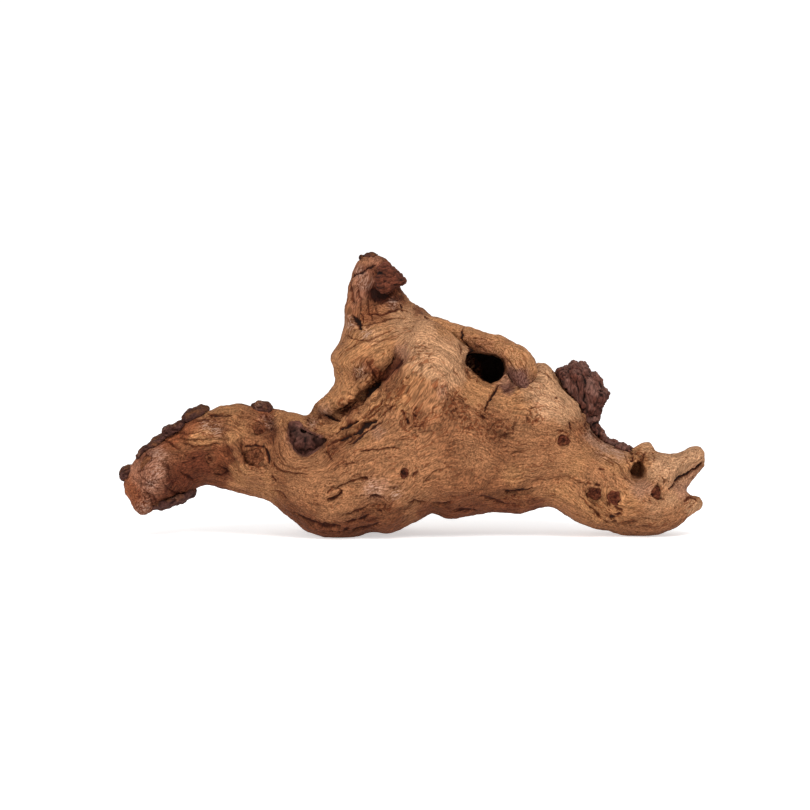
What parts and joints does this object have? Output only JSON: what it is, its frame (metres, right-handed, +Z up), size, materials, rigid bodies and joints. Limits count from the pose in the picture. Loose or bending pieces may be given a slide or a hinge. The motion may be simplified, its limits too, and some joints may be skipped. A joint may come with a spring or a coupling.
{
  "type": "aquarium driftwood root",
  "caption": "Weathered branching driftwood root for an aquarium: an arm, a trunk with a hollow under a cracked bridge, an upright stub and a forked foot.",
  "frame": {"origin": "on the ground, under the middle of the root's bounding box", "axes": "+X along the root from the arm to the forked foot, +Y from front to back, +Z up"},
  "size_m": [0.3404, 0.0964, 0.1639],
  "materials": {
    "sapwood": "sandblasted, dry and matte, with raised grain that runs from pale gold to red-brown",
    "heartwood": "matte dark red-brown end grain",
    "bark": "rough dark brown bark, broken into blocks"
  },
  "bodies": {
    "root": {"driftwood_body": "sapwood", "hollow_bridge": "sapwood", "knot_trunk_right": "heartwood", "knot_foot_left": "heartwood", "knot_foot_middle": "heartwood", "knot_foot_right": "heartwood", "knot_trunk_small": "heartwood", "knot_arm_square": "heartwood", "knot_arm_upper": "heartwood", "knot_arm_lower": "heartwood", "knot_arm_eye": "heartwood", "knot_back_trunk": "heartwood", "knot_back_arm": "heartwood", "bark_slab": "bark", "bark_slab_lower": "bark", "bark_ridge_strip": "bark", "stub_bark": "bark", "arm_tip_crust": "bark", "arm_outer_crust": "bark", "arm_middle_crust": "bark", "arm_knob_crust": "bark", "arm_inner_crust": "bark", "arm_under_crust": "bark", "stub_crown_crust": "bark", "dead_branch_plug": "bark"}
  },
  "joints": []
}
